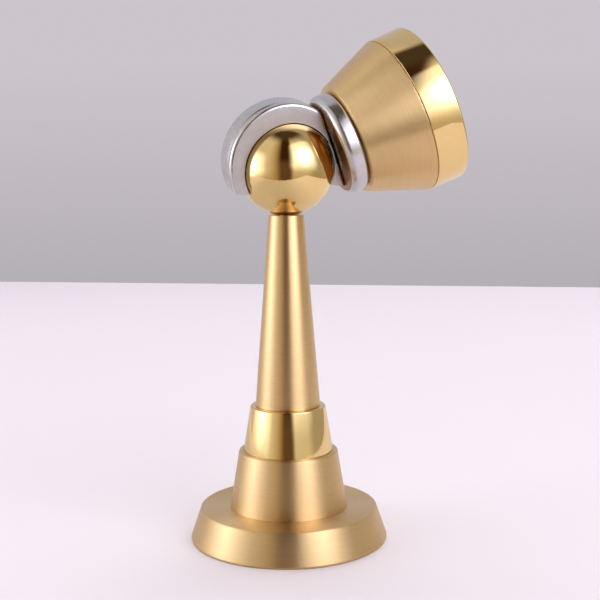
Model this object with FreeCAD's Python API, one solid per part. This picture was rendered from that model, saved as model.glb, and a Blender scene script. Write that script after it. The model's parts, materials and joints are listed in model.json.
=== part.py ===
import FreeCAD, Part
import math
import os

# Magnetic floor door holder: a turned brass foot and stem, a ball on top of the stem, a split
# yoke that grips the ball, and a magnet head on the yoke's shank. Millimetres. The origin is
# the centre of the underside, Z is up, and the head points along +X and upward.
# Threads are drawn as plain cylinders at their outside diameter.

V = FreeCAD.Vector
up = V(0, 0, 1)

# Clearances
fit_gap = 0.05          # between pieces that are screwed or pushed together, on the radius
run_gap = 0.08          # around a pin that turns in its bore, on the radius
slide_gap = 0.05        # between flat faces that slide on each other
seat_gap = 0.3          # around the ball in its seat

# Foot
flange_r = 25.2         # at the floor
flange_top_r = 22.4
flange_h = 8.2
flange_web = 3.0        # metal left above the recess
flange_round = 0.5
lower_cone_r = 14.9
lower_cone_top_r = 12.5
lower_cone_h = 14.6
collar_r = 11.35
collar_top_r = 9.45
collar_h = 11.5
rim_round = 0.5         # top rims of the lower cone and the collar

# Stem
stem_r = 8.2
stem_top_r = 4.4
stem_h = 47.7           # the part that shows above the collar
stem_spigot_r = 6.0
stem_spigot_h = 13.6    # down through the collar into the lower cone
stem_rim_round = 0.3
stem_bore_r = 3.5
stem_neck_h = 11.5      # solid top of the stem, with only the swivel bore in it

# Floor plate and its grub screw
plate_r = 20.0
plate_t = 4.0
plate_recess_gap = 0.3
plate_window_r = 9.0
screw_count = 3
screw_pcd = 28.0
screw_hole_r = 2.25
screw_head_r = 4.2
plate_groove_depth = 0.8
grub_r = 1.5
grub_z = 2.4
grub_inset = 0.4        # below the flange's side
grub_socket_r = 0.8
grub_socket_depth = 1.6

# Tie bolt that draws the foot and the stem together
bolt_r = 4.0
bolt_top_z = 40.0
bolt_head_r = 6.5       # across the corners, halved
bolt_head_h = 2.6
bolt_socket_r = 2.5
bolt_socket_depth = 1.4
spring_washer_t = 1.2
spring_washer_r = 6.4
spring_washer_split = 0.8
tie_washer_t = 1.0
tie_washer_r = 7.5

# Ball and the screw that it turns on
ball_r = 12.05
ball_stem_gap = 0.15
swivel_r = 2.0
swivel_reach = 7.4      # length of the swivel screw in the ball
swivel_head_r = 3.2
swivel_head_h = 2.4
swivel_socket_r = 1.2
swivel_socket_depth = 1.2
disc_spring_t = 0.7
disc_spring_cone = 0.3  # rise of the disc spring's cone within its thickness
swivel_washer_t = 0.5

# Pose of the head at rest, in degrees
head_lift = 22.6        # above level
head_roll = 14.7        # about its own axis

# Yoke: a thin front cheek and a thick rear cheek around the ball. The outline is two arcs of
# one radius, centred above and below the head's axis, so the yoke is thickest over the ball.
yoke_wall = 2.45        # between the ball's seat and the outline, behind the ball
yoke_rise = 1.76        # arc centres, above and below the axis
ball_proud_front = 8.4  # how far the ball stands out of the front cheek
ball_proud_rear = 7.2
slit_y = 1.5            # middle of the slit, toward the front cheek
slit_w = 0.4
slit_chamfer = 0.3
yoke_round = 0.8
mouth_slope = 28.8      # the mouth's two flats against the head's axis, in degrees
rear_flat_drop = 7.05   # rear flat, below the ball's centre
front_flat_drop = 2.8   # front flat, below the ball's centre
dowel_r = 0.7
dowel_front_l = 1.4     # length of a dowel on each side of the slit's middle
dowel_rear_l = 3.0
dowel_angles = (60.0, 150.0)

# Shank of the yoke, and what sits on it. Distances run along the head's axis from the ball.
ring_setback = 0.05     # the cheeks meet the clamp ring this far short of the ball's front
boss_wall = 4.0         # around the end of the ball's seat
boss_floor = 1.15       # ahead of the ball's seat
shank_r = 4.5
shank_cup_gap = 1.7     # from the shank's end to the pole cup
ring_r = 12.85
ring_l = 4.6
ring_back_round = 1.8
ring_front_round = 0.9
friction_washer_t = 0.2
friction_washer_r = 9.5
wave_washer_t = 0.6
wave_washer_r = 7.8
nut_af = 14.0
nut_l = 5.0

# Magnet head
cone_r = 14.0
cone_top_r = 20.0
cone_l = 15.0
cone_floor = 3.0
cone_round = 0.3
cone_cavity_r = 10.5
spigot_r = 18.1
spigot_l = 4.6
band_l = 8.2
band_r = 20.3
band_round = 0.5
cup_r = 15.5
cup_set = 11.7          # from the cone's small end to the cup's back
cup_wall = 1.5
cup_floor = 2.0
cup_inset = 0.3         # cup's rim, behind the band's front
magnet_r = 11.5
magnet_inset = 0.4      # magnet's face, behind the cup's rim
magnet_floor_gap = 0.1
bumper_proud = 0.5      # rubber ring, ahead of the band's front

# Heights and places that follow from the sizes above
lower_cone_z = flange_h
collar_z = lower_cone_z + lower_cone_h
stem_z = collar_z + collar_h
stem_top_z = stem_z + stem_h
spigot_z = stem_z - stem_spigot_h
shoulder_z = stem_top_z - stem_neck_h
ball_z = stem_top_z + ball_stem_gap + ball_r
recess_h = flange_h - flange_web
seat_r = ball_r + seat_gap
yoke_r = seat_r + yoke_wall
front_y = ball_r - ball_proud_front
rear_y = ball_r - ball_proud_rear
yoke_front = ball_r - ring_setback
boss_r = math.sqrt(seat_r ** 2 - yoke_front ** 2) + boss_wall
boss_l = seat_r + boss_floor - yoke_front
ring_start = yoke_front + slide_gap
ring_end = ring_start + ring_l
cone_start = ring_end + friction_washer_t + slide_gap
cone_end = cone_start + cone_l
band_end = cone_end + band_l
cup_start = cone_start + cup_set
shank_end = cup_start - shank_cup_gap
ball_centre = V(0, 0, ball_z)


def turned(profile):
    """Solid of revolution about Z from a closed outline of (radius, height) points."""
    corners = [V(r, 0, z) for r, z in profile]
    outline = Part.Face(Part.makePolygon(corners + [corners[0]]))
    return outline.revolve(V(0, 0, 0), up, 360)


def rim(shape, radius, height):
    """Circular edges about Z of one radius at one height."""
    found = []
    for edge in shape.Edges:
        if not isinstance(edge.Curve, Part.Circle):
            continue
        near_r = abs(edge.Curve.Radius - radius) < 1e-3
        near_z = abs(edge.Curve.Center.z - height) < 1e-3
        if near_r and near_z:
            found.append(edge)
    return found


def tube(outer_r, inner_r, z0, length):
    outside = Part.makeCylinder(outer_r, length, V(0, 0, z0))
    inside = Part.makeCylinder(inner_r, length, V(0, 0, z0))
    return outside.cut(inside)


def hexagon(corner_r, z0, length):
    corners = []
    for k in range(6):
        a = math.radians(60 * k)
        corners.append(V(corner_r * math.cos(a), corner_r * math.sin(a), z0))
    return Part.Face(Part.makePolygon(corners + [corners[0]])).extrude(V(0, 0, length))


def head_placement():
    """Local Z runs along the head's axis from the ball and local Y is the yoke's front side."""
    lift = math.radians(head_lift)
    axis = V(math.cos(lift), 0, math.sin(lift))
    level = V(-math.sin(lift), 0, math.cos(lift))
    slant = FreeCAD.Rotation(level, axis.cross(level), axis, "ZXY")
    roll = FreeCAD.Rotation(axis, head_roll)
    return FreeCAD.Placement(ball_centre, roll.multiply(slant))


def on_head(shape):
    placed = shape.copy()
    placed.Placement = head_placement()
    return placed


# Foot ---------------------------------------------------------------------------------------

def grub_bore():
    return Part.makeCylinder(grub_r + fit_gap, flange_r, V(0, 0, grub_z), V(0, 1, 0))


def base_flange():
    recess_r = plate_r + plate_recess_gap
    body = turned([(recess_r, 0), (flange_r, 0), (flange_top_r, flange_h), (0, flange_h),
                   (0, recess_h), (recess_r, recess_h)])
    edges = rim(body, flange_top_r, flange_h) + rim(body, flange_r, 0)
    body = body.makeFillet(flange_round, edges)
    bolt_hole = Part.makeCylinder(bolt_r + fit_gap, flange_web, V(0, 0, recess_h))
    return body.cut(bolt_hole).cut(grub_bore())


def floor_plate():
    body = Part.makeCylinder(plate_r, plate_t)
    body = body.cut(Part.makeCylinder(plate_window_r, plate_t))
    groove = turned([(plate_r + 1, grub_z - grub_r - 1), (plate_r + 1, grub_z + grub_r + 1),
                     (plate_r - plate_groove_depth, grub_z)])
    body = body.cut(groove)
    sink_depth = screw_head_r - screw_hole_r
    for k in range(screw_count):
        angle = math.radians(90 + 360 * k / screw_count)
        at = V(screw_pcd / 2 * math.cos(angle), screw_pcd / 2 * math.sin(angle), 0)
        hole = Part.makeCylinder(screw_hole_r, plate_t, at)
        sink_at = at + V(0, 0, plate_t - sink_depth)
        sink = Part.makeCone(screw_hole_r, screw_head_r, sink_depth, sink_at)
        body = body.cut(hole).cut(sink)
    return body


def base_grub_screw():
    slope = (flange_r - flange_top_r) / flange_h
    outer = flange_r - slope * (grub_z + grub_r) - grub_inset
    tip = plate_r - plate_groove_depth + 2 * slide_gap + grub_r / 2
    point = V(0, tip, grub_z)
    cone = Part.makeCone(0.2, grub_r, grub_r, point - V(0, grub_r / 2, 0), V(0, 1, 0))
    shaft_y = tip + grub_r / 2
    shaft = Part.makeCylinder(grub_r, outer - shaft_y, V(0, shaft_y, grub_z), V(0, 1, 0))
    key = hexagon(grub_socket_r, 0, grub_socket_depth + 1)
    key.Placement = FreeCAD.Placement(V(0, outer - grub_socket_depth, grub_z),
                                      FreeCAD.Rotation(up, V(0, 1, 0)))
    return cone.fuse(shaft).removeSplitter().cut(key)


def lower_cone():
    body = turned([(0, lower_cone_z), (lower_cone_r, lower_cone_z),
                   (lower_cone_top_r, collar_z), (0, collar_z)])
    body = body.makeFillet(rim_round, rim(body, lower_cone_top_r, collar_z))
    bolt_hole = Part.makeCylinder(bolt_r + fit_gap, lower_cone_h, V(0, 0, lower_cone_z))
    socket_depth = collar_z - spigot_z + slide_gap
    socket = Part.makeCylinder(stem_spigot_r + fit_gap, socket_depth,
                               V(0, 0, collar_z - socket_depth))
    return body.cut(bolt_hole).cut(socket)


def collar():
    body = turned([(0, collar_z), (collar_r, collar_z), (collar_top_r, stem_z), (0, stem_z)])
    body = body.makeFillet(rim_round, rim(body, collar_top_r, stem_z))
    return body.cut(Part.makeCylinder(stem_spigot_r + fit_gap, collar_h, V(0, 0, collar_z)))


def stem():
    body = turned([(0, spigot_z), (stem_spigot_r, spigot_z), (stem_spigot_r, stem_z),
                   (stem_r, stem_z), (stem_top_r, stem_top_z), (0, stem_top_z)])
    body = body.makeFillet(stem_rim_round, rim(body, stem_top_r, stem_top_z))
    thread_end = bolt_top_z + bolt_r
    thread = Part.makeCylinder(bolt_r + fit_gap, thread_end - spigot_z, V(0, 0, spigot_z))
    bore = Part.makeCylinder(stem_bore_r, shoulder_z - spigot_z, V(0, 0, spigot_z))
    swivel_hole = Part.makeCylinder(swivel_r + run_gap, stem_neck_h, V(0, 0, shoulder_z))
    return body.cut(thread).cut(bore).cut(swivel_hole)


def bolt_head_z():
    return recess_h - tie_washer_t - spring_washer_t - bolt_head_h


def tie_bolt():
    z0 = bolt_head_z()
    head = hexagon(bolt_head_r, z0, bolt_head_h)
    shaft = Part.makeCylinder(bolt_r, bolt_top_z - z0, V(0, 0, z0))
    key = hexagon(bolt_socket_r, z0, bolt_socket_depth)
    body = head.fuse(shaft).removeSplitter()
    body = body.makeChamfer(bolt_r / 6, rim(body, bolt_r, bolt_top_z))
    return body.cut(key)


def tie_spring_washer():
    z0 = bolt_head_z() + bolt_head_h
    body = tube(spring_washer_r, bolt_r + fit_gap, z0, spring_washer_t)
    split = Part.makeBox(spring_washer_r, spring_washer_split, spring_washer_t,
                         V(0, -spring_washer_split / 2, z0))
    return body.cut(split)


def tie_washer():
    return tube(tie_washer_r, bolt_r + fit_gap, recess_h - tie_washer_t, tie_washer_t)


# Ball and swivel ------------------------------------------------------------------------------

def ball():
    body = Part.makeSphere(ball_r, ball_centre)
    bottom_z = ball_z - ball_r
    hole = Part.makeCylinder(swivel_r + fit_gap, swivel_reach + swivel_r, V(0, 0, bottom_z - 1))
    return body.cut(hole)


def swivel_washer_z():
    return shoulder_z - slide_gap - swivel_washer_t


def swivel_head_z():
    return swivel_washer_z() - 2 * disc_spring_t - swivel_head_h


def swivel_screw():
    z0 = swivel_head_z()
    top_z = ball_z - ball_r + swivel_reach
    head = Part.makeCylinder(swivel_head_r, swivel_head_h, V(0, 0, z0))
    shaft = Part.makeCylinder(swivel_r, top_z - z0, V(0, 0, z0))
    key = hexagon(swivel_socket_r, z0, swivel_socket_depth)
    body = head.fuse(shaft).removeSplitter()
    body = body.makeChamfer(swivel_r / 6, rim(body, swivel_r, top_z))
    return body.cut(key)


def disc_spring(z0, opens_up):
    """Shallow conical spring; the pair meets rim to rim."""
    inner = swivel_r + fit_gap
    leaf = disc_spring_t - disc_spring_cone
    low_rim = [(inner, disc_spring_cone), (swivel_head_r, 0),
               (swivel_head_r, leaf), (inner, disc_spring_t)]
    if opens_up:
        low_rim = [(r, disc_spring_t - z) for r, z in low_rim]
    return turned([(r, z0 + z) for r, z in low_rim])


def swivel_spring_lower():
    return disc_spring(swivel_head_z() + swivel_head_h, True)


def swivel_spring_upper():
    return disc_spring(swivel_head_z() + swivel_head_h + disc_spring_t, False)


def swivel_washer():
    return tube(swivel_head_r, swivel_r + fit_gap, swivel_washer_z(), swivel_washer_t)


# Yoke -----------------------------------------------------------------------------------------

def mouth_cut():
    """What is cut from the disc below the two flats, so that the stem can pass."""
    far = 3 * yoke_r
    rear = Part.makeBox(far, far, far, V(-far - rear_flat_drop, -far / 2, -far))
    front = Part.makeBox(far, far, far, V(-far - front_flat_drop, -far / 2, 0))
    cut = rear.fuse(front)
    cut.rotate(V(0, 0, 0), V(0, 1, 0), -mouth_slope)
    return cut


def outline_edges(disc, depth):
    """The arcs and straight edges of the yoke's outline at one depth."""
    return [e for e in disc.Edges if all(abs(v.Point.y - depth) < 1e-3 for v in e.Vertexes)]


def yoke_disc(slit_face, outer_face):
    """One cheek's plate before the mouth, from its slit face to its outer face."""
    high = V(yoke_rise, slit_face, 0)
    low = V(-yoke_rise, slit_face, 0)
    end = V(0, 0, yoke_r)
    edges = [
        Part.Arc(high + end, high + V(yoke_r, 0, 0), high - end).toShape(),
        Part.makeLine(high - end, low - end),
        Part.Arc(low - end, low - V(yoke_r, 0, 0), low + end).toShape(),
        Part.makeLine(low + end, high + end),
    ]
    plate = Part.Face(Part.Wire(edges)).extrude(V(0, outer_face - slit_face, 0))
    plate = plate.makeFillet(yoke_round, outline_edges(plate, outer_face))
    plate = plate.makeChamfer(slit_chamfer, outline_edges(plate, slit_face))
    far = 2 * yoke_r
    beyond = Part.makeBox(2 * far, 2 * far, far, V(-far, -far, yoke_front))
    return plate.cut(beyond).cut(mouth_cut())


def dowel_place(angle_deg):
    """Rear end of a dowel, midway between the ball's seat and the yoke's outline."""
    a = math.radians(angle_deg)
    side = yoke_rise * math.cos(a)
    outline = yoke_rise * math.sin(a) + math.sqrt(yoke_r ** 2 - side ** 2)
    middle = (seat_r + outline) / 2
    return V(middle * math.sin(a), slit_y - dowel_rear_l, middle * math.cos(a))


def dowel_hole(angle):
    length = dowel_rear_l + dowel_front_l + 2 * slide_gap
    start = dowel_place(angle) - V(0, slide_gap, 0)
    return Part.makeCylinder(dowel_r + fit_gap, length, start, V(0, 1, 0))


def cheek(slit_face, outer_face):
    """One cheek with its share of the boss and the shank, on its own side of the slit."""
    boss = Part.makeCylinder(boss_r, boss_l, V(0, 0, yoke_front))
    shank = Part.makeCylinder(shank_r, shank_end - yoke_front, V(0, 0, yoke_front))
    far = 4 * yoke_r
    y0 = min(slit_face, slit_face + math.copysign(far, outer_face))
    own_side = Part.makeBox(far, far, far, V(-far / 2, y0, -far / 2))
    body = yoke_disc(slit_face, outer_face).fuse(boss.fuse(shank).common(own_side))
    body = body.cut(Part.makeSphere(seat_r))
    for angle in dowel_angles:
        body = body.cut(dowel_hole(angle))
    return on_head(body.removeSplitter())


def front_cheek():
    return cheek(slit_y + slit_w / 2, front_y)


def rear_cheek():
    return cheek(slit_y - slit_w / 2, -rear_y)


def cheek_dowel(angle):
    length = dowel_rear_l + dowel_front_l
    return on_head(Part.makeCylinder(dowel_r, length, dowel_place(angle), V(0, 1, 0)))


def clamp_ring():
    body = tube(ring_r, shank_r + fit_gap, ring_start, ring_l)
    body = body.makeFillet(ring_back_round, rim(body, ring_r, ring_start))
    body = body.makeFillet(ring_front_round, rim(body, ring_r, ring_end))
    pocket = Part.makeCylinder(boss_r + fit_gap, boss_l + slide_gap, V(0, 0, yoke_front))
    return on_head(body.cut(pocket))


def friction_washer():
    return on_head(tube(friction_washer_r, shank_r + fit_gap, ring_end, friction_washer_t))


def wave_washer_start():
    return cone_start + cone_floor + slide_gap


def wave_washer():
    return on_head(tube(wave_washer_r, shank_r + fit_gap, wave_washer_start(), wave_washer_t))


def shank_nut():
    z0 = wave_washer_start() + wave_washer_t
    body = hexagon(nut_af / math.sqrt(3), z0, nut_l)
    return on_head(body.cut(Part.makeCylinder(shank_r + fit_gap, nut_l, V(0, 0, z0))))


# Magnet head ----------------------------------------------------------------------------------

def head_cone():
    spigot_end = cone_end + spigot_l
    body = turned([(0, cone_start), (cone_r, cone_start), (cone_top_r, cone_end),
                   (spigot_r, cone_end), (spigot_r, spigot_end), (0, spigot_end)])
    body = body.makeFillet(cone_round, rim(body, cone_r, cone_start))
    shank_hole = Part.makeCylinder(shank_r + run_gap, cone_floor, V(0, 0, cone_start))
    cavity_z = cone_start + cone_floor
    cavity = Part.makeCylinder(cone_cavity_r, cup_start - cavity_z, V(0, 0, cavity_z))
    seat = Part.makeCylinder(cup_r + fit_gap, spigot_end - cup_start, V(0, 0, cup_start))
    return on_head(body.cut(shank_hole).cut(cavity).cut(seat))


def head_band():
    inner = spigot_r + fit_gap
    body = turned([(inner, cone_end), (cone_top_r, cone_end), (band_r, band_end),
                   (inner, band_end)])
    return on_head(body.makeFillet(band_round, rim(body, band_r, band_end)))


def pole_cup():
    rim_z = band_end - cup_inset
    body = Part.makeCylinder(cup_r, rim_z - cup_start, V(0, 0, cup_start))
    hollow_z = cup_start + cup_floor
    hollow = Part.makeCylinder(cup_r - cup_wall, rim_z - hollow_z, V(0, 0, hollow_z))
    return on_head(body.cut(hollow))


def magnet_span():
    start = cup_start + cup_floor + magnet_floor_gap
    end = band_end - cup_inset - magnet_inset
    return start, end - start


def magnet():
    start, length = magnet_span()
    body = Part.makeCylinder(magnet_r, length, V(0, 0, start))
    return on_head(body.makeChamfer(0.3, rim(body, magnet_r, start + length)))


def magnet_ring():
    start, length = magnet_span()
    outer_r = cup_r - cup_wall - fit_gap
    return on_head(tube(outer_r, magnet_r + fit_gap, start, length))


def bumper_ring():
    start = cone_end + spigot_l + fit_gap
    end = band_end + bumper_proud
    outer_r = spigot_r
    body = tube(outer_r, cup_r + fit_gap, start, end - start)
    crown = (outer_r - cup_r) / 3
    rims = rim(body, outer_r, end) + rim(body, cup_r + fit_gap, end)
    return on_head(body.makeFillet(crown, rims))


pieces = [
    ("floor_plate", floor_plate), ("base_flange", base_flange),
    ("base_grub_screw", base_grub_screw), ("lower_cone", lower_cone), ("collar", collar),
    ("stem", stem), ("tie_bolt", tie_bolt), ("tie_spring_washer", tie_spring_washer),
    ("tie_washer", tie_washer), ("ball", ball), ("swivel_screw", swivel_screw),
    ("swivel_spring_lower", swivel_spring_lower), ("swivel_spring_upper", swivel_spring_upper),
    ("swivel_washer", swivel_washer), ("front_cheek", front_cheek), ("rear_cheek", rear_cheek),
    ("clamp_ring", clamp_ring), ("friction_washer", friction_washer),
    ("wave_washer", wave_washer), ("shank_nut", shank_nut), ("head_cone", head_cone),
    ("head_band", head_band), ("pole_cup", pole_cup), ("magnet", magnet),
    ("magnet_ring", magnet_ring), ("bumper_ring", bumper_ring),
]

os.makedirs("parts", exist_ok=True)
for name, build in pieces:
    build().exportStep("parts/" + name + ".step")
for number, angle in enumerate(dowel_angles, start=1):
    cheek_dowel(angle).exportStep("parts/cheek_dowel_%d.step" % number)
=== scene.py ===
import json
import math

import bmesh
import bpy
from mathutils import Matrix, Vector


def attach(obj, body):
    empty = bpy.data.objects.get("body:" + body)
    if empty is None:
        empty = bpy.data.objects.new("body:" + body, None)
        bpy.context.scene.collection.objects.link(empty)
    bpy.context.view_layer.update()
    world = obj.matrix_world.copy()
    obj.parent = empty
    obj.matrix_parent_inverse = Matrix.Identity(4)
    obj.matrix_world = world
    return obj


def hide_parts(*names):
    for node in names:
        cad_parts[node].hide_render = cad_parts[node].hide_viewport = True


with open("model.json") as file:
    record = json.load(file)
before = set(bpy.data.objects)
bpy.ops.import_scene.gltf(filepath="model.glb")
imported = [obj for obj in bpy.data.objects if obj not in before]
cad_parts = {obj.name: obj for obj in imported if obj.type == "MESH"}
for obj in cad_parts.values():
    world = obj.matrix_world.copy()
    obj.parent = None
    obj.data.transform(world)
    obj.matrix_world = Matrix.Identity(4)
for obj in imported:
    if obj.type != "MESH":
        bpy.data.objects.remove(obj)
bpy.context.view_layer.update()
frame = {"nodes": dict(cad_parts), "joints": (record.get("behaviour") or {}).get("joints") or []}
print("frame loaded:", len(frame["nodes"]), "nodes")

mm = 0.001
joints = {joint["name"]: joint for joint in frame["joints"]}
ballCentre = Vector(joints["head_tilt"]["pos_m"])
headAxis = Vector(joints["head_spin"]["axis"]).normalized()
frontAxis = Vector(joints["head_tilt"]["axis"]).normalized()
floorOrigin = Vector((0, 0, 0))
upAxis = Vector((0, 0, 1))


# Where a turned piece stands: its own Z runs along the axis, its own Y stays toward the front
def placeOn(origin, axis, front):
    side = front.cross(axis).normalized()
    spin = Matrix((side, axis.cross(side), axis)).transposed().to_4x4()
    return Matrix.Translation(origin) @ spin


footPlace = placeOn(floorOrigin, upAxis, Vector((0, -1, 0)))
headPlace = placeOn(ballCentre, headAxis, frontAxis)
ballPlace = placeOn(ballCentre, upAxis, Vector((0, -1, 0)))


# sizes are read from the CAD frame

def outlinePoints(node, place):
    # (height along the axis, radius) of every vertex of a CAD node
    inverse = place.inverted() @ frame["nodes"][node].matrix_world
    spots = []
    for vertex in frame["nodes"][node].data.vertices:
        local = inverse @ vertex.co
        spots.append((local.z, math.hypot(local.x, local.y)))
    return spots


def sideOf(node, place):
    # the longest straight stretch of a piece's outer side, run out to its two ends
    spots = sorted(outlinePoints(node, place))
    hull = []
    for spot in spots:
        while len(hull) > 1:
            (z0, r0), (z1, r1) = hull[-2], hull[-1]
            if (z1 - z0) * (spot[1] - r0) - (r1 - r0) * (spot[0] - z0) < 0:
                break
            hull.pop()
        hull.append(spot)
    stretches = [(b[0] - a[0], a, b) for a, b in zip(hull, hull[1:])]
    rise, (z0, r0), (z1, r1) = max(stretches)
    return {"start": z0, "end": z1, "startR": r0, "taper": (r1 - r0) / (z1 - z0)}


def spanOf(node, place):
    spots = outlinePoints(node, place)
    heights = [z for z, r in spots]
    radii = [r for z, r in spots]
    return {"start": min(heights), "end": max(heights), "inner": min(radii), "outer": max(radii)}


def sideRadius(side, height):
    return side["startR"] + side["taper"] * (height - side["start"])


# turned pieces are an outline spun about an axis

def roundedOutline(corners, steps=7):
    # corners are (radius, height, size of the round); a size of 0 keeps the corner sharp
    outline = []
    for i, (radius, height, size) in enumerate(corners):
        here = Vector((radius, height))
        if size <= 0:
            outline.append(here)
            continue
        before = Vector(corners[i - 1][:2]) - here
        after = Vector(corners[(i + 1) % len(corners)][:2]) - here
        half = before.angle(after) / 2
        setBack = min(size / math.tan(half), 0.48 * before.length, 0.48 * after.length)
        arcR = setBack * math.tan(half)
        towardIn = (before.normalized() + after.normalized()).normalized()
        centre = here + towardIn * (arcR / math.sin(half))
        first = here + before.normalized() * setBack - centre
        last = here + after.normalized() * setBack - centre
        sweep = first.angle_signed(last)
        for k in range(steps + 1):
            angle = -sweep * k / steps
            c, s = math.cos(angle), math.sin(angle)
            outline.append(centre + Vector((c * first.x - s * first.y, s * first.x + c * first.y)))
    return outline


def turn(name, outline, place, rings=256):
    # spins an outline of (radius, height) points about the piece's own Z
    mesh = bpy.data.meshes.new(name)
    bm = bmesh.new()
    around = bm.loops.layers.uv.new("around")     # one turn across, metres along the outline upward
    columns = []
    for point in outline:
        if point.x < 1e-7:
            columns.append([bm.verts.new((0, 0, point.y))])
            continue
        ring = []
        for k in range(rings):
            a = 2 * math.pi * k / rings
            ring.append(bm.verts.new((point.x * math.cos(a), point.x * math.sin(a), point.y)))
        columns.append(ring)
    far = 0
    for i, low in enumerate(columns):
        high = columns[(i + 1) % len(columns)]
        near, far = far, far + (outline[(i + 1) % len(outline)] - outline[i]).length
        if len(low) == 1 and len(high) == 1:
            continue
        for k in range(rings):
            nextK = (k + 1) % rings
            corners = [(low[k % len(low)], k, near), (low[nextK % len(low)], k + 1, near),
                       (high[nextK % len(high)], k + 1, far), (high[k % len(high)], k, far)]
            if len(low) == 1:
                corners.pop(1)
            if len(high) == 1:
                corners.pop(-1)
            face = bm.faces.new([vert for vert, column, length in corners])
            for loop, (vert, column, length) in zip(face.loops, corners):
                loop[around].uv = (column / rings, length)
    bmesh.ops.recalc_face_normals(bm, faces=bm.faces)
    bm.to_mesh(mesh)
    bm.free()
    return finishMesh(name, mesh, place)


def finishMesh(name, mesh, place, sharpAngle=40):
    for face in mesh.polygons:
        face.use_smooth = True
    mesh.set_sharp_from_angle(angle=math.radians(sharpAngle))
    mesh.transform(place)
    piece = bpy.data.objects.new(name, mesh)
    bpy.context.collection.objects.link(piece)
    return piece


def addPiece(piece, body, material, slotName, *nodes):
    piece.data.materials.append(material)
    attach(piece, body)
    if nodes:
        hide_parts(*nodes)
    return piece


# the finishes

def startMaterial(name):
    material = bpy.data.materials.new(name)
    material.use_nodes = True
    tree = material.node_tree
    return material, tree, tree.nodes["Principled BSDF"]


def addNode(tree, kind, settings=None, inputs=None):
    node = tree.nodes.new(kind)
    for key, value in (settings or {}).items():
        setattr(node, key, value)
    for key, value in (inputs or {}).items():
        if hasattr(value, "is_output"):
            tree.links.new(value, node.inputs[key])
        else:
            node.inputs[key].default_value = value
    return node


def calc(tree, operation, a, b=0.0):
    return addNode(tree, "ShaderNodeMath", {"operation": operation}, {0: a, 1: b}).outputs[0]


def spread(tree, value, low, high):
    # a 0 to 1 pattern opened out between two values
    node = addNode(tree, "ShaderNodeMapRange", inputs={"Value": value, "To Min": low, "To Max": high})
    return node.outputs["Result"]


def grainAround(tree, spacing, sweep, detail=3.0):
    # lines that run round a turned piece, on its sides and on its flat faces alike
    parts = addNode(tree, "ShaderNodeSeparateXYZ",
                    inputs={0: addNode(tree, "ShaderNodeUVMap", {"uv_map": "around"}).outputs[0]})
    turned = calc(tree, "MULTIPLY", parts.outputs["X"], 2 * math.pi)
    spot = addNode(tree, "ShaderNodeCombineXYZ", inputs={
        "X": calc(tree, "MULTIPLY", calc(tree, "COSINE", turned), sweep),
        "Y": calc(tree, "MULTIPLY", calc(tree, "SINE", turned), sweep),
        "Z": calc(tree, "DIVIDE", parts.outputs["Y"], spacing)})
    noise = addNode(tree, "ShaderNodeTexNoise",
                    inputs={"Vector": spot.outputs[0], "Scale": 1.0, "Detail": detail})
    return noise.outputs["Fac"]


def fade(tree, value, start, end):
    # 0 before start, 1 past end, soft between; a start above the end turns it round
    low, high, first, last = (start, end, 0.0, 1.0) if start < end else (end, start, 1.0, 0.0)
    node = addNode(tree, "ShaderNodeMapRange", {"interpolation_type": "SMOOTHSTEP"},
                   {"Value": value, "From Min": low, "From Max": high, "To Min": first, "To Max": last})
    return node.outputs["Result"]


def cloud(tree, size, detail=2.0):
    place = addNode(tree, "ShaderNodeTexCoord").outputs["Object"]
    noise = addNode(tree, "ShaderNodeTexNoise",
                    inputs={"Vector": place, "Scale": 1 / size, "Detail": detail})
    return noise.outputs["Fac"]


def bumpFrom(tree, height, distance, below=None):
    node = addNode(tree, "ShaderNodeBump", inputs={"Height": height, "Distance": distance})
    if below is not None:
        tree.links.new(below, node.inputs["Normal"])
    return node.outputs["Normal"]


def mixColours(tree, amount, first, second):
    node = addNode(tree, "ShaderNodeMix", {"data_type": "RGBA"}, {0: amount, 6: first, 7: second})
    return node.outputs[2]


def brushedBrass(name, look):
    material, tree, shader = startMaterial(name)
    fine = grainAround(tree, look["fineLine"], 4.0)
    coarse = grainAround(tree, look["coarseLine"], 2.5)
    patch = cloud(tree, look["patchSize"])
    colour = mixColours(tree, spread(tree, coarse, 0.2, 0.8), look["dark"], look["light"])
    colour = mixColours(tree, spread(tree, patch, 0.0, look["patchAmount"]), colour, look["warm"])
    tree.links.new(colour, shader.inputs["Base Color"])
    rough = calc(tree, "ADD", spread(tree, fine, -0.05, 0.05), spread(tree, coarse, -0.04, 0.04))
    tree.links.new(calc(tree, "ADD", rough, look["rough"]), shader.inputs["Roughness"])
    normal = bumpFrom(tree, fine, look["fineDepth"])
    normal = bumpFrom(tree, coarse, look["coarseDepth"], below=normal)
    tree.links.new(normal, shader.inputs["Normal"])
    shader.inputs["Metallic"].default_value = 1.0
    shader.inputs["Anisotropic"].default_value = look["streak"]
    shader.inputs["Anisotropic Rotation"].default_value = 0.25
    tangent = addNode(tree, "ShaderNodeTangent", {"direction_type": "UV_MAP", "uv_map": "around"})
    tree.links.new(tangent.outputs[0], shader.inputs["Tangent"])
    return material


def polishedMetal(name, look):
    material, tree, shader = startMaterial(name)
    wave = cloud(tree, look["waveSize"], 1.0)
    haze = cloud(tree, look["hazeSize"], 4.0)
    colour = mixColours(tree, spread(tree, haze, 0.0, 1.0), look["dark"], look["light"])
    tree.links.new(colour, shader.inputs["Base Color"])
    tree.links.new(spread(tree, haze, look["roughLow"], look["roughHigh"]), shader.inputs["Roughness"])
    tree.links.new(bumpFrom(tree, wave, look["waveDepth"]), shader.inputs["Normal"])
    shader.inputs["Metallic"].default_value = 1.0
    return material


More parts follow.
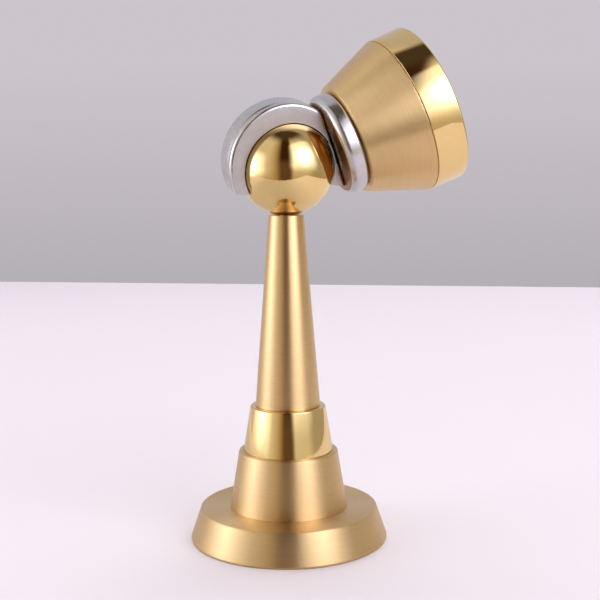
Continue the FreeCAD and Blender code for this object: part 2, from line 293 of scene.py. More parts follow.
def blastedMetal(name, look):
    material, tree, shader = startMaterial(name)
    grain = cloud(tree, look["grainSize"], 3.0)
    patch = cloud(tree, look["patchSize"], 3.0)
    colour = mixColours(tree, spread(tree, patch, 0.1, 0.9), look["dark"], look["light"])
    tree.links.new(colour, shader.inputs["Base Color"])
    rough = calc(tree, "ADD", spread(tree, grain, look["roughLow"], look["roughHigh"]),
                 spread(tree, patch, -0.04, 0.04))
    tree.links.new(rough, shader.inputs["Roughness"])
    tree.links.new(bumpFrom(tree, grain, look["grainDepth"]), shader.inputs["Normal"])
    shader.inputs["Metallic"].default_value = 1.0
    return material


def softPlastic(name, look):
    material, tree, shader = startMaterial(name)
    grain = cloud(tree, look["grainSize"], 3.0)
    colour = mixColours(tree, grain, look["dark"], look["light"])
    tree.links.new(colour, shader.inputs["Base Color"])
    tree.links.new(spread(tree, grain, look["roughLow"], look["roughHigh"]), shader.inputs["Roughness"])
    tree.links.new(bumpFrom(tree, grain, look["grainDepth"]), shader.inputs["Normal"])
    return material


brushedLook = {
    "fineLine": 0.11 * mm, "coarseLine": 0.45 * mm,
    "fineDepth": 0.006 * mm, "coarseDepth": 0.010 * mm,
    "patchSize": 9 * mm, "patchAmount": 0.35,
    "dark": (0.70, 0.46, 0.20, 1), "light": (0.90, 0.65, 0.33, 1), "warm": (0.84, 0.57, 0.27, 1),
    "rough": 0.38, "streak": 0.95,
}
polishedLook = {
    "waveSize": 14 * mm, "waveDepth": 0.02 * mm, "hazeSize": 3 * mm,
    "dark": (0.80, 0.57, 0.235, 1), "light": (0.87, 0.64, 0.29, 1), "roughLow": 0.05, "roughHigh": 0.09,
}
nickelFaceLook = {
    "grainSize": 0.30 * mm, "grainDepth": 0.045 * mm, "patchSize": 2.2 * mm,
    "dark": (0.46, 0.425, 0.405, 1), "light": (0.66, 0.62, 0.60, 1), "roughLow": 0.34, "roughHigh": 0.52,
}
# copper-brown for the clamp ring's back: a painted reflection of the brass ball and painted shade in the
# recess, not a finish of the nickel
nickelPaintedReflectionLook = {
    "grainSize": 0.3 * mm, "grainDepth": 0.01 * mm, "patchSize": 3 * mm,
    "dark": (0.27, 0.125, 0.040, 1), "light": (0.42, 0.22, 0.085, 1), "roughLow": 0.28, "roughHigh": 0.40,
}
nickelRimLook = {
    "waveSize": 6 * mm, "waveDepth": 0.03 * mm, "hazeSize": 2 * mm,
    "dark": (0.53, 0.508, 0.50, 1), "light": (0.71, 0.685, 0.675, 1), "roughLow": 0.18, "roughHigh": 0.32,
}
zincLook = {
    "grainSize": 0.5 * mm, "grainDepth": 0.01 * mm, "patchSize": 6 * mm,
    "dark": (0.46, 0.47, 0.49, 1), "light": (0.66, 0.67, 0.69, 1), "roughLow": 0.22, "roughHigh": 0.36,
}
# black oxide of the hidden pieces; the same dark finish on the yoke's slit faces is painted shade in the gap
# between the cheeks
oxideAndSlitShadeLook = {
    "grainSize": 0.3 * mm, "grainDepth": 0.01 * mm, "patchSize": 2 * mm,
    "dark": (0.05, 0.05, 0.055, 1), "light": (0.11, 0.11, 0.12, 1), "roughLow": 0.3, "roughHigh": 0.45,
}
magnetLook = {
    "waveSize": 5 * mm, "waveDepth": 0.02 * mm, "hazeSize": 1.5 * mm,
    "dark": (0.60, 0.60, 0.61, 1), "light": (0.75, 0.75, 0.76, 1), "roughLow": 0.12, "roughHigh": 0.24,
}
rubberLook = {
    "grainSize": 0.35 * mm, "grainDepth": 0.02 * mm,
    "dark": (0.020, 0.020, 0.021, 1), "light": (0.040, 0.040, 0.042, 1), "roughLow": 0.55, "roughHigh": 0.75,
}
spacerLook = {
    "grainSize": 0.6 * mm, "grainDepth": 0.01 * mm,
    "dark": (0.040, 0.040, 0.042, 1), "light": (0.065, 0.065, 0.068, 1), "roughLow": 0.35, "roughHigh": 0.5,
}

brushed = brushedBrass("brushedBrass", brushedLook)
polished = polishedMetal("polishedBrass", polishedLook)
nickelFace = blastedMetal("blastedNickel", nickelFaceLook)
nickelRim = polishedMetal("polishedNickel", nickelRimLook)
# the ring's back gets this copper-brown as painted reflection and painted shade
nickelPaintedReflection = blastedMetal("nickelWithPaintedReflection", nickelPaintedReflectionLook)
zinc = blastedMetal("zincPlate", zincLook)
# also put on the slit faces as painted shade
oxideAndSlitShade = blastedMetal("blackOxideAndSlitShade", oxideAndSlitShadeLook)
magnetSkin = polishedMetal("magnetNickel", magnetLook)
rubber = softPlastic("rubber", rubberLook)
spacer = softPlastic("spacerPlastic", spacerLook)
print("finishes ready")


# foot and stem

flange = {"topRound": 0.55 * mm, "bottomRound": 0.52 * mm, "recessRound": 0.2 * mm}


def makeFlange():
    side = sideOf("base_flange", footPlace)
    span = spanOf("base_flange", footPlace)
    plate = spanOf("floor_plate", footPlace)
    washer = spanOf("tie_washer", footPlace)
    recessR = plate["outer"] + 0.3 * mm
    outline = roundedOutline([
        (span["inner"], span["end"], 0),
        (span["inner"], washer["end"], 0.1 * mm),
        (recessR, washer["end"], 0),
        (recessR, 0, flange["recessRound"]),
        (sideRadius(side, 0), 0, flange["bottomRound"]),
        (sideRadius(side, span["end"]), span["end"], flange["topRound"]),
    ])
    return turn("footFlange", outline, footPlace)


steppedCone = {"topRound": 0.5 * mm, "footRound": 0.12 * mm}


def makeSteppedCone(name, node):
    side = sideOf(node, footPlace)
    span = spanOf(node, footPlace)
    outline = roundedOutline([
        (span["inner"], span["start"], 0),
        (sideRadius(side, span["start"]), span["start"], steppedCone["footRound"]),
        (sideRadius(side, span["end"]), span["end"], steppedCone["topRound"]),
        (span["inner"], span["end"], 0),
    ])
    return turn(name, outline, footPlace)


# the stem's top is a shallow cup that comes up round the ball
stemSize = {
    "topRound": 0.25 * mm, "footRound": 0.15 * mm, "cupRise": 0.35 * mm, "cupR": 3.3 * mm, "cupRound": 0.1 * mm,
    "spigotSlip": 0.05 * mm, "spigotRound": 0.3 * mm,
}


def makeStem():
    side = sideOf("stem", footPlace)
    span = spanOf("stem", footPlace)
    collarTop = spanOf("collar", footPlace)
    spigotR = collarTop["inner"] - stemSize["spigotSlip"]
    boreR = span["inner"]
    outline = roundedOutline([
        (boreR, span["start"], 0),
        (spigotR, span["start"], stemSize["spigotRound"]),
        (spigotR, collarTop["end"], 0),
        (sideRadius(side, collarTop["end"]), collarTop["end"], stemSize["footRound"]),
        (sideRadius(side, span["end"]), span["end"] + stemSize["cupRise"], stemSize["topRound"]),
        (stemSize["cupR"], span["end"] + stemSize["cupRise"], stemSize["cupRound"]),
        (boreR, span["end"], 0),
    ])
    return turn("stemTaper", outline, footPlace)


addPiece(makeFlange(), "foot", brushed, "brushed_brass", "base_flange")
addPiece(makeSteppedCone("lowerCone", "lower_cone"), "foot", brushed, "brushed_brass", "lower_cone")
addPiece(makeSteppedCone("polishedCollar", "collar"), "foot", polished, "polished_brass", "collar")
addPiece(makeStem(), "foot", brushed, "brushed_brass", "stem")
print("foot and stem made")


# ball

ballSize = {"steps": 128, "smallestBore": 0.5 * mm, "usualBore": 2.05 * mm, "boreDepth": 0.5}


def makeBall():
    span = spanOf("ball", ballPlace)
    radius = span["end"]
    boreR = span["inner"] if span["inner"] > ballSize["smallestBore"] else ballSize["usualBore"]
    boreEnd = -radius * ballSize["boreDepth"]
    startAngle = -math.pi / 2 + math.asin(boreR / radius)
    outline = [Vector((boreR, boreEnd))]
    for k in range(ballSize["steps"] + 1):
        a = startAngle + (math.pi / 2 - startAngle) * k / ballSize["steps"]
        outline.append(Vector((max(radius * math.cos(a), 0), radius * math.sin(a))))
    outline.append(Vector((0, boreEnd)))
    return turn("jointBall", outline, ballPlace)


addPiece(makeBall(), "ball", polished, "polished_brass", "ball")
print("ball made")


# yoke

yoke = {
    "rimRound": 0.8 * mm, "slitChamfer": 0.3 * mm, "holeRound": 0.12 * mm,
    "seatCloser": 0.15 * mm, "mouthSlope": 28.8, "rearDrop": 7.05 * mm, "frontDrop": 2.8 * mm,
    "seatWall": 0.35 * mm, "flatWithin": 0.3, "steps": 260,
    "edgeBevel": 0.12 * mm, "bevelOver": 55, "sharpOver": 35,
}


def cheekSizes(node):
    # the slit face, the outer face and the outline of one cheek, read from its plate behind the ball
    inverse = headPlace.inverted() @ frame["nodes"][node].matrix_world
    spots = [inverse @ v.co for v in frame["nodes"][node].data.vertices]
    plate = [p for p in spots if p.z < 0]
    lowY, highY = min(p.y for p in plate), max(p.y for p in plate)
    slit, outer = (lowY, highY) if abs(lowY) < abs(highY) else (highY, lowY)
    arcR = -min(p.z for p in plate)
    return {
        "seatR": min(p.length for p in spots) - yoke["seatCloser"],
        "slit": slit, "outer": outer, "arcR": arcR, "rise": max(p.x for p in spots) - arcR,
        "front": spanOf("clamp_ring", headPlace)["start"],
    }


def cheekSection(thick):
    # one turn round the C's cross-section: where it is measured from, how far in, how far from the slit
    edge, hole = yoke["rimRound"], yoke["holeRound"]
    section = [("outline", yoke["slitChamfer"], 0.0), ("outline", 0.0, yoke["slitChamfer"])]
    for k in range(9):
        a = math.pi / 2 * k / 8
        section.append(("outline", edge * (1 - math.cos(a)), thick - edge * (1 - math.sin(a))))
    for k in range(4):
        a = math.pi / 2 * k / 3
        section.append(("seat", hole * (1 - math.sin(a)), thick - hole * (1 - math.cos(a))))
    for k in range(1, 17):
        section.append(("seat", 0.0, (thick - hole) * (1 - k / 16)))
    return section


def makeCheek(name, node):
    sizes = cheekSizes(node)
    slope = math.radians(yoke["mouthSlope"])
    outward = math.copysign(1, sizes["outer"] - sizes["slit"])
    section = cheekSection(abs(sizes["outer"] - sizes["slit"]))

    def seatAt(depth):
        return math.sqrt(max(sizes["seatR"] ** 2 - depth ** 2, 0))

    def outlineAt(angle, depth):
        up, along = abs(math.sin(angle)), abs(math.cos(angle))
        far = sizes["rise"] * up + math.sqrt(sizes["arcR"] ** 2 - (sizes["rise"] * along) ** 2)
        if sizes["arcR"] / max(along, 1e-6) * up < sizes["rise"]:
            far = sizes["arcR"] / along
        if math.cos(angle) < yoke["flatWithin"]:
            return far
        flat = max(sizes["front"] / math.cos(angle), seatAt(depth) + yoke["seatWall"])
        return min(far, flat)

    def reach(item, angle):
        depth = sizes["slit"] + outward * item[2]
        if item[0] == "seat":
            return seatAt(depth) + item[1]
        return outlineAt(angle, depth) - item[1]

    bm = bmesh.new()
    rows = []
    for item in section:
        low, high = -slope, math.pi - slope
        for settle in range(8):
            low = -slope - math.asin(min(yoke["frontDrop"] / reach(item, low), 1))
            high = math.pi - slope + math.asin(min(yoke["rearDrop"] / reach(item, high), 1))
        row = []
        for k in range(yoke["steps"] + 1):
            angle = low + (high - low) * k / yoke["steps"]
            far = reach(item, angle)
            depth = sizes["slit"] + outward * item[2]
            row.append(bm.verts.new((far * math.sin(angle), depth, far * math.cos(angle))))
        rows.append(row)
    # the flat outer face lies between the outline's last row and the seat's first one;
    # the slit face comes after the last row of all
    faceRow = sum(item[0] == "outline" for item in section) - 1
    faceSlots = {faceRow: 0, len(rows) - 1: 2}
    for i, row in enumerate(rows):
        other = rows[(i + 1) % len(rows)]
        for k in range(yoke["steps"]):
            face = bm.faces.new((row[k], row[k + 1], other[k + 1], other[k]))
            face.material_index = faceSlots.get(i, 1)
    bm.faces.new([row[0] for row in rows])
    bm.faces.new([row[-1] for row in reversed(rows)])
    bmesh.ops.recalc_face_normals(bm, faces=bm.faces)
    mesh = bpy.data.meshes.new(name)
    bm.to_mesh(mesh)
    bm.free()
    piece = finishMesh(name, mesh, headPlace, yoke["sharpOver"])
    bevel = piece.modifiers.new("edges", "BEVEL")
    bevel.width = yoke["edgeBevel"]
    bevel.segments = 3
    bevel.limit_method = "ANGLE"
    bevel.angle_limit = math.radians(yoke["bevelOver"])
    return piece


def addCheek(name, node):
    # blasted outer face, polished rim and seat, and a slit face painted dark as painted shade in the gap
    # between the cheeks, in the order of the face slots
    piece = makeCheek(name, node)
    piece.data.materials.append(nickelFace)
    addPiece(piece, "yoke", nickelRim, "satin_nickel", node)
    piece.data.materials.append(oxideAndSlitShade)


addCheek("yokeFrontHalf", "front_cheek")
addCheek("yokeRearHalf", "rear_cheek")

ring = {
    "backRound": 1.8 * mm, "frontRound": 0.9 * mm, "holeRound": 0.1 * mm, "paintedReflectionDepth": 0.12 * mm,
    "near": 0.02 * mm, "roundSteps": 16,
}


def ringPocket():
    # the recess in the ring's back that goes over the yoke's boss
    spots = outlinePoints("clamp_ring", headPlace)
    back = spanOf("clamp_ring", headPlace)["start"]
    radius = min(r for z, r in spots if z < back + ring["near"])
    return {"radius": radius, "end": max(z for z, r in spots if abs(r - radius) < ring["near"])}


def makeClampRing():
    span = spanOf("clamp_ring", headPlace)
    pocket = ringPocket()
    outline = roundedOutline([
        (span["inner"], span["end"], ring["holeRound"]),
        (span["inner"], pocket["end"], 0),
        (pocket["radius"], pocket["end"], 0),
        (pocket["radius"], span["start"], ring["holeRound"]),
        (span["outer"], span["start"], ring["backRound"]),
        (span["outer"], span["end"], ring["frontRound"]),
    ], ring["roundSteps"])
    return turn("clampRing", outline, headPlace)


shank = {
    "slip": 0.1 * mm, "tipRound": 0.4 * mm, "bossRound": 0.1 * mm, "bossBack": 0.1 * mm, "ledge": 0.05 * mm,
    "hollow": (0.25 * mm, 0.15 * mm), "hollowR": (0.4, 0.55),
}


def makeShank():
    # the boss behind the ring and the shank that the head turns on
    ringSpan = spanOf("clamp_ring", headPlace)
    pocket = ringPocket()
    seat = cheekSizes("rear_cheek")["seatR"]
    tip = max(spanOf("rear_cheek", headPlace)["end"], spanOf("front_cheek", headPlace)["end"])
    bossR, shankR = pocket["radius"] - shank["slip"], ringSpan["inner"] - shank["slip"]
    bossBack = ringSpan["start"] + shank["bossBack"]
    ledge = pocket["end"] - shank["ledge"]
    outline = roundedOutline([
        (0, seat + shank["hollow"][0], 0),
        (shank["hollowR"][0] * bossR, seat + shank["hollow"][1], 0),
        (shank["hollowR"][1] * bossR, bossBack, 0),
        (bossR, bossBack, 0),
        (bossR, ledge, shank["bossRound"]),
        (shankR, ledge, 0),
        (shankR, tip, shank["tipRound"]),
        (0, tip, 0),
    ])
    return turn("yokeShank", outline, headPlace)


addPiece(makeShank(), "yoke", nickelRim, "satin_nickel")


def addClampRing():
    # the ring's back is painted copper-brown, a painted reflection of the brass and painted shade in its
    # recess; the rest is bright
    piece = makeClampRing()
    addPiece(piece, "yoke", nickelRim, "satin_nickel", "clamp_ring")
    piece.data.materials.append(nickelPaintedReflection)
    back = spanOf("clamp_ring", headPlace)["start"]
    inverse = headPlace.inverted()
    for face in piece.data.polygons:
        if (inverse @ face.center).z < back + ring["paintedReflectionDepth"]:
            face.material_index = 1


addClampRing()
print("yoke made")


# magnet head

headShell = {
    "smallEndRound": 0.25 * mm, "bigEndRound": 0.35 * mm, "lipRound": 0.1 * mm, "spigotSlip": 0.05 * mm,
    "cupSlip": 0.05 * mm, "cavityR": 10.5 * mm, "cavityFloor": 3.0 * mm,
}
bandSize = {"faceRound": 0.5 * mm, "seamRound": 0.12 * mm, "innerRound": 0.2 * mm}
bumper = {"backRound": 0.1 * mm, "faceRound": 0.78 * mm, "roundSteps": 12}
cupSize = {
    "wall": 1.5 * mm, "floorGap": 0.1 * mm,
    "backRound": 0.5 * mm, "rimRound": 0.25 * mm, "floorRound": 0.2 * mm,
}
magnetSize = {"backRound": 0.2 * mm, "faceRound": 0.3 * mm}
magnetRing = {"backRound": 0.1 * mm, "faceRound": 0.2 * mm}


def makeHeadCone():
    side = sideOf("head_cone", headPlace)
    span = spanOf("head_cone", headPlace)
    band = spanOf("head_band", headPlace)
    cup = spanOf("pole_cup", headPlace)
    spigotR = band["inner"] - headShell["spigotSlip"]
    cupR = cup["outer"] + headShell["cupSlip"]
    cavityEnd = span["start"] + headShell["cavityFloor"]
    outline = roundedOutline([
        (span["inner"], span["start"], headShell["lipRound"]),
        (sideRadius(side, span["start"]), span["start"], headShell["smallEndRound"]),
        (sideRadius(side, band["start"]), band["start"], headShell["bigEndRound"]),
        (spigotR, band["start"], 0),
        (spigotR, span["end"], headShell["lipRound"]),
        (cupR, span["end"], 0),
        (cupR, cup["start"], 0),
        (headShell["cavityR"], cup["start"], 0),
        (headShell["cavityR"], cavityEnd, 0),
        (span["inner"], cavityEnd, 0),
    ])
    return turn("headCone", outline, headPlace)


def makeHeadBand():
    span = spanOf("head_band", headPlace)
    side = sideOf("head_band", headPlace)
    outline = roundedOutline([
        (span["inner"], span["start"], 0),
        (sideRadius(side, span["start"]), span["start"], bandSize["seamRound"]),
        (sideRadius(side, span["end"]), span["end"], bandSize["faceRound"]),
        (span["inner"], span["end"], bandSize["innerRound"]),
    ])
    return turn("headBand", outline, headPlace)


def makeBumper():
    span = spanOf("bumper_ring", headPlace)
    outline = roundedOutline([
        (span["inner"], span["start"], bumper["backRound"]),
        (span["outer"], span["start"], bumper["backRound"]),
        (span["outer"], span["end"], bumper["faceRound"]),
        (span["inner"], span["end"], bumper["faceRound"]),
    ], bumper["roundSteps"])
    return turn("bumperRing", outline, headPlace)


def makeCup():
    span = spanOf("pole_cup", headPlace)
    magnetSpan = spanOf("magnet", headPlace)
    wallR = span["outer"] - cupSize["wall"]
    floorZ = magnetSpan["start"] - cupSize["floorGap"]
    outline = roundedOutline([
        (0, span["start"], 0),
        (span["outer"], span["start"], cupSize["backRound"]),
        (span["outer"], span["end"], cupSize["rimRound"]),
        (wallR, span["end"], cupSize["rimRound"]),
        (wallR, floorZ, cupSize["floorRound"]),
        (0, floorZ, 0),
    ])
    return turn("poleCup", outline, headPlace)


def makeMagnet():
    span = spanOf("magnet", headPlace)
    outline = roundedOutline([
        (0, span["start"], 0),
        (span["outer"], span["start"], magnetSize["backRound"]),
        (span["outer"], span["end"], magnetSize["faceRound"]),
        (0, span["end"], 0),
    ])
    return turn("magnetDisc", outline, headPlace)


def makeMagnetRing():
    span = spanOf("magnet_ring", headPlace)
    outline = roundedOutline([
        (span["inner"], span["start"], magnetRing["backRound"]),
        (span["outer"], span["start"], magnetRing["backRound"]),
        (span["outer"], span["end"], magnetRing["faceRound"]),
        (span["inner"], span["end"], magnetRing["faceRound"]),
    ])
    return turn("magnetRing", outline, headPlace)


addPiece(makeHeadCone(), "head", brushed, "brushed_brass", "head_cone")
addPiece(makeHeadBand(), "head", polished, "polished_brass", "head_band")
addPiece(makeBumper(), "head", rubber, "rubber", "bumper_ring")
addPiece(makeCup(), "head", zinc, "zinc_steel", "pole_cup")
addPiece(makeMagnet(), "head", magnetSkin, "magnet_nickel", "magnet")
addPiece(makeMagnetRing(), "head", spacer, "spacer_plastic", "magnet_ring")
print("head made")


# CAD pieces that stay, with a finish of their own

def dressNode(node, material):
    piece = frame["nodes"][node]
    piece.data.materials.clear()
    piece.data.materials.append(material)


for node in ("floor_plate", "tie_bolt", "tie_washer", "swivel_screw", "swivel_washer", "shank_nut"):
    dressNode(node, zinc)
for node in ("tie_spring_washer", "swivel_spring_lower", "swivel_spring_upper", "wave_washer",
             "base_grub_screw", "cheek_dowel_1", "cheek_dowel_2"):
    dressNode(node, oxideAndSlitShade)
dressNode("friction_washer", spacer)
print("hidden pieces dressed")


# stage, light and camera

cameraSide = math.radians(-14.8)          # how far round from the front the camera stands
turnStage = Matrix.Rotation(cameraSide, 4, "Z")

stage = {
    "front": -0.9, "back": 0.532, "side": 0.9, "skew": -8.3, "nearFront": -0.165, "nearSide": 0.27,
    "nearLift": 0.05 * mm, "rightEnd": (-0.02, 0.14), "leftEnd": (-0.10, -0.24),
    "floorPale": (0.82, 0.765, 0.82, 1), "floorFar": (0.80, 0.75, 0.81, 1),
    "floorShady": (0.585, 0.555, 0.58, 1), "patchSize": 0.2,
    "wallBack": 0.75, "wallWide": 2.0, "wallDrop": -0.6, "wallTop": 1.6,
    "wallLow": (0.46, 0.432, 0.46, 1), "wallHigh": (0.60, 0.56, 0.60, 1), "wallFade": (-0.02, 0.17),
}


def stageMesh(name, corners, cuts):
    mesh = bpy.data.meshes.new(name)
    bm = bmesh.new()
    bm.faces.new([bm.verts.new(corner) for corner in corners])
    bmesh.ops.subdivide_edges(bm, edges=bm.edges, cuts=cuts, use_grid_fill=True)
    bm.to_mesh(mesh)
    bm.free()
    piece = bpy.data.objects.new(name, mesh)
    bpy.context.collection.objects.link(piece)
    return piece


def floorMaterial(name, pale, shady=None):
    # with a shady tone the floor is painted darker in the middle, as painted shade, and brighter toward its
    # right and left ends
    material, tree, shader = startMaterial(name)
    colour = mixColours(tree, cloud(tree, stage["patchSize"]), pale, stage["floorFar"])
    if shady:
        place = addNode(tree, "ShaderNodeTexCoord").outputs["Object"]
        across = addNode(tree, "ShaderNodeSeparateXYZ", inputs={0: place}).outputs["X"]
        ends = calc(tree, "ADD", fade(tree, across, *stage["rightEnd"]), fade(tree, across, *stage["leftEnd"]))
        colour = mixColours(tree, ends, shady, colour)
    tree.links.new(colour, shader.inputs["Base Color"])
    shader.inputs["Roughness"].default_value = 0.6
    shader.inputs["Specular IOR Level"].default_value = 0.1
    return material


def makeFloor(name, side, front, material):
    back = stage["back"]
    piece = stageMesh(name, [(-side, front, 0), (side, front, 0), (side, back, 0), (-side, back, 0)], 20)
    piece.matrix_world = turnStage @ Matrix.Rotation(math.radians(stage["skew"]), 4, "Z")
    piece.data.materials.append(material)
    return piece


def glowMaterial(name):
    # gives off light and reflects none
    material, tree, shader = startMaterial(name)
    shader.inputs["Emission Strength"].default_value = 1.0
    shader.inputs["Base Color"].default_value = (0, 0, 0, 1)
    shader.inputs["Roughness"].default_value = 1.0
    shader.inputs["Specular IOR Level"].default_value = 0.0
    return material, tree, shader


def makeWall():
    wide, low, top = stage["wallWide"], stage["wallDrop"], stage["wallTop"]
    piece = stageMesh("wall", [(-wide, 0, low), (wide, 0, low), (wide, 0, top), (-wide, 0, top)], 6)
    piece.matrix_world = turnStage @ Matrix.Translation((0, stage["wallBack"], 0))
    # the wall glows instead of being lit, and is painted darker toward the bottom as painted shade
    material, tree, shader = glowMaterial("glowingWall")
    place = addNode(tree, "ShaderNodeTexCoord").outputs["Object"]
    height = addNode(tree, "ShaderNodeSeparateXYZ", inputs={0: place}).outputs["Z"]
    rise = addNode(tree, "ShaderNodeMapRange",
                   inputs={"Value": height, "From Min": stage["wallFade"][0], "From Max": stage["wallFade"][1]})
    colour = mixColours(tree, rise.outputs["Result"], stage["wallLow"], stage["wallHigh"])
    tree.links.new(colour, shader.inputs["Emission Color"])
    piece.data.materials.append(material)
    piece.visible_glossy = False


# softboxes: tall lit sheets with soft edges, close to the object, that only the metal sees
softboxes = {
    "rightBox": {"side": 45, "away": 0.30, "bottom": 0.08, "top": 0.52, "half": 0.185, "soft": (0.06, 0.055),
                 "level": 0.85, "coreAt": (0.012, 0.247), "coreWide": 0.175, "core": 4.4,
                 "colour": (0.93, 1, 1.28, 1)},
    "leftBox": {"side": -83, "away": 0.34, "bottom": 0.0, "top": 0.27, "half": 0.205, "soft": (0.09, 0.07),
                "level": 0.95, "coreAt": (0.0, 0.12), "coreWide": 0.16, "core": 2.2,
                "colour": (0.93, 1, 1.28, 1)},
}


def makeSoftbox(name, look):
    wide = look["half"] + 2 * look["soft"][0]
    low, top = look["bottom"] - 2 * look["soft"][1], look["top"] + 2 * look["soft"][1]
    piece = stageMesh(name, [(-wide, 0, low), (wide, 0, low), (wide, 0, top), (-wide, 0, top)], 4)
    spin = Matrix.Rotation(math.radians(look["side"]), 4, "Z")
    piece.matrix_world = turnStage @ spin @ Matrix.Translation((0, -look["away"], 0))
    material, tree, shader = startMaterial(name + "Light")
    place = addNode(tree, "ShaderNodeTexCoord").outputs["Object"]
    parts = addNode(tree, "ShaderNodeSeparateXYZ", inputs={0: place})
    across = calc(tree, "ABSOLUTE", parts.outputs["X"])
    height = parts.outputs["Z"]
    sideways = fade(tree, across, look["half"] + look["soft"][0], look["half"] - look["soft"][0])
    below = fade(tree, height, look["bottom"] - look["soft"][1], look["bottom"] + look["soft"][1])
    above = fade(tree, height, look["top"] + look["soft"][1], look["top"] - look["soft"][1])
    sheet = calc(tree, "MULTIPLY", calc(tree, "MULTIPLY", sideways, below), above)
    middle = (look["coreAt"][0], 0, look["coreAt"][1])
    offset = addNode(tree, "ShaderNodeVectorMath", {"operation": "DISTANCE"}, {0: place, 1: middle})
    spot = fade(tree, offset.outputs["Value"], look["coreWide"], 0.0)
    sheet = calc(tree, "MULTIPLY", sheet, look["level"])
    level = calc(tree, "ADD", sheet, calc(tree, "MULTIPLY", spot, look["core"]))
    glow = addNode(tree, "ShaderNodeEmission", inputs={"Color": look["colour"], "Strength": level})
    clear = addNode(tree, "ShaderNodeBsdfTransparent")
    both = addNode(tree, "ShaderNodeAddShader", inputs={0: glow.outputs[0], 1: clear.outputs[0]})
    tree.links.new(both.outputs[0], tree.nodes["Material Output"].inputs["Surface"])
    piece.data.materials.append(material)
    piece.visible_camera = False
    piece.visible_diffuse = False
    piece.visible_shadow = False


# the room that the metal sees: grey all round, a dark gap near the camera and a dark ceiling; angles in degrees
room = {
    "walls": (0.76, 0.73, 0.70, 1), "right": (0.46, 0.43, 0.40, 1), "behind": (0.58, 0.57, 0.64, 1),
    "dusk": (0.42, 0.26, 0.09, 1), "gap": (0.045, 0.017, 0.005, 1),
    "ceiling": (0.07, 0.05, 0.035, 1), "plain": (0.46, 0.44, 0.45, 1),
    "gapLeft": (-27, -8), "gapRight": (22, 9), "duskLeft": (-46, -20), "ceilingFrom": (54, 74),
    "ceilingBack": (-0.16, 0.02), "rightFrom": (52, 78), "behindFrom": (118, 150), "gapLow": (4, 22),
    "lowFrom": (2, -34), "gapBelow": 0.82, "lowAmount": 0.6, "duskAmount": 0.75,
}


def paintRoom():
    world = bpy.data.worlds.new("room")
    world.use_nodes = True
    tree = world.node_tree
    direction = addNode(tree, "ShaderNodeTexCoord").outputs["Generated"]
    spin = addNode(tree, "ShaderNodeVectorRotate", {"rotation_type": "Z_AXIS"},
                   {"Vector": direction, "Angle": -cameraSide})
    parts = addNode(tree, "ShaderNodeSeparateXYZ", inputs={0: spin.outputs[0]})
    forward = calc(tree, "MULTIPLY", parts.outputs["Y"], -1.0)
    side = calc(tree, "DEGREES", calc(tree, "ARCTAN2", parts.outputs["X"], forward))
    up = calc(tree, "DEGREES", calc(tree, "ARCSINE", parts.outputs["Z"]))
    dusk = calc(tree, "MULTIPLY", fade(tree, side, *room["duskLeft"]), fade(tree, side, *room["gapRight"]))
    gap = calc(tree, "MULTIPLY", fade(tree, side, *room["gapLeft"]), fade(tree, side, *room["gapRight"]))
    gap = calc(tree, "MULTIPLY", gap, spread(tree, fade(tree, up, *room["gapLow"]), room["gapBelow"], 1.0))
    low = calc(tree, "MULTIPLY", fade(tree, up, *room["lowFrom"]), room["lowAmount"])
    colour = mixColours(tree, fade(tree, side, *room["rightFrom"]), room["walls"], room["right"])
    behind = fade(tree, calc(tree, "ABSOLUTE", side), *room["behindFrom"])
    colour = mixColours(tree, behind, colour, room["behind"])
    colour = mixColours(tree, low, colour, room["dusk"])
    colour = mixColours(tree, calc(tree, "MULTIPLY", dusk, room["duskAmount"]), colour, room["dusk"])
    colour = mixColours(tree, gap, colour, room["gap"])
    ceiling = calc(tree, "MULTIPLY", fade(tree, up, *room["ceilingFrom"]),
                   fade(tree, forward, *room["ceilingBack"]))
    colour = mixColours(tree, ceiling, colour, room["ceiling"])
    inMetal = addNode(tree, "ShaderNodeLightPath").outputs["Is Glossy Ray"]
    colour = mixColours(tree, inMetal, room["plain"], colour)
    tree.links.new(colour, tree.nodes["Background"].inputs["Color"])
    bpy.context.scene.world = world


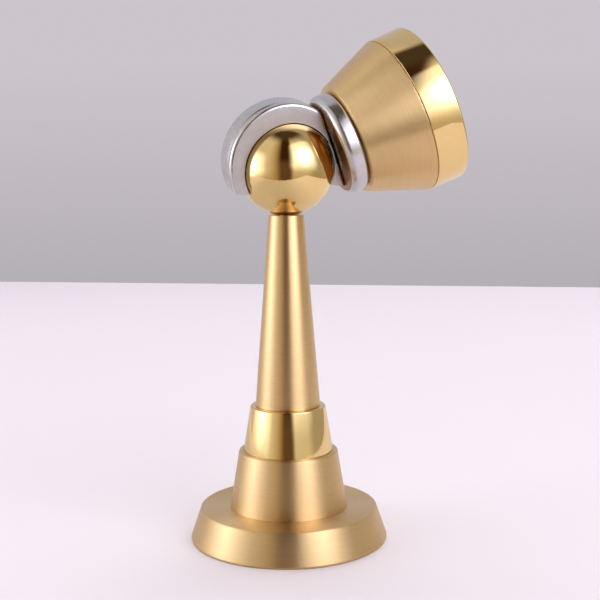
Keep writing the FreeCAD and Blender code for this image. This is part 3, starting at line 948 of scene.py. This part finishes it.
def addPanel(name, look):
    # brightness is how bright the panel itself looks; the power follows from its size
    light = bpy.data.lights.new(name, "AREA")
    light.shape = "RECTANGLE"
    light.size = look["wide"]
    light.size_y = look["tall"]
    light.energy = look["brightness"] * math.pi * look["wide"] * look["tall"]
    light.color = look["colour"]
    lamp = bpy.data.objects.new(name, light)
    bpy.context.collection.objects.link(lamp)
    side, up = math.radians(look["at"][0]), math.radians(look["at"][1])
    spot = Vector((math.sin(side) * math.cos(up), -math.cos(side) * math.cos(up), math.sin(up)))
    spot *= look["at"][2]
    aim = (-spot).to_track_quat("-Z", "Y").to_matrix().to_4x4()
    lamp.matrix_world = turnStage @ Matrix.Translation(spot) @ aim
    lamp.visible_camera = False
    lamp.visible_glossy = False


# these light the floor; at is degrees to the right of the camera, degrees up and metres away
panels = {
    "leftPanel": {"at": (-80, 22, 0.7), "wide": 0.50, "tall": 0.62, "brightness": 1.7,
                  "colour": (1, 0.99, 0.98)},
    "rightPanel": {"at": (42, 34, 0.74), "wide": 0.60, "tall": 0.80, "brightness": 1.7,
                   "colour": (1, 0.99, 0.98)},
    "topFill": {"at": (168, 58, 1.0), "wide": 1.0, "tall": 0.9, "brightness": 2.3, "colour": (1, 1, 1)},
}

paleFloor = floorMaterial("paleFloor", stage["floorPale"])
makeFloor("floor", stage["side"], stage["front"], paleFloor).visible_glossy = False
# the floor that only the metal sees carries painted shade, darker in the middle
floorWithPaintedShade = floorMaterial("floorWithPaintedShade", stage["floorPale"], stage["floorShady"])
nearFloor = makeFloor("floorInMetal", stage["nearSide"], stage["nearFront"], floorWithPaintedShade)
nearFloor.matrix_world = Matrix.Translation((0, 0, stage["nearLift"])) @ nearFloor.matrix_world
nearFloor.visible_camera = False
nearFloor.visible_diffuse = False
nearFloor.visible_shadow = False
makeWall()
for boxName, boxLook in softboxes.items():
    makeSoftbox(boxName, boxLook)
for panelName, panelLook in panels.items():
    addPanel(panelName, panelLook)
paintRoom()

camera = {
    "across": 3.27 * mm, "back": 285.6 * mm, "height": 99.4 * mm,
    "down": 7.66, "roll": -0.45, "lens": 69.0, "sensor": 36.0,
}


def addCamera():
    data = bpy.data.cameras.new("camera")
    data.lens = camera["lens"]
    data.sensor_width = camera["sensor"]
    data.clip_start = 0.01
    body = bpy.data.objects.new("camera", data)
    bpy.context.collection.objects.link(body)
    spot = Vector((camera["across"], -camera["back"], camera["height"]))
    look = Matrix.Rotation(math.radians(90 - camera["down"]), 4, "X")
    roll = Matrix.Rotation(math.radians(camera["roll"]), 4, "Z")
    body.matrix_world = turnStage @ Matrix.Translation(spot) @ look @ roll
    bpy.context.scene.camera = body


addCamera()
bpy.context.scene.view_settings.view_transform = "Standard"
bpy.context.scene.view_settings.look = "None"
print("stage, lights and camera ready")
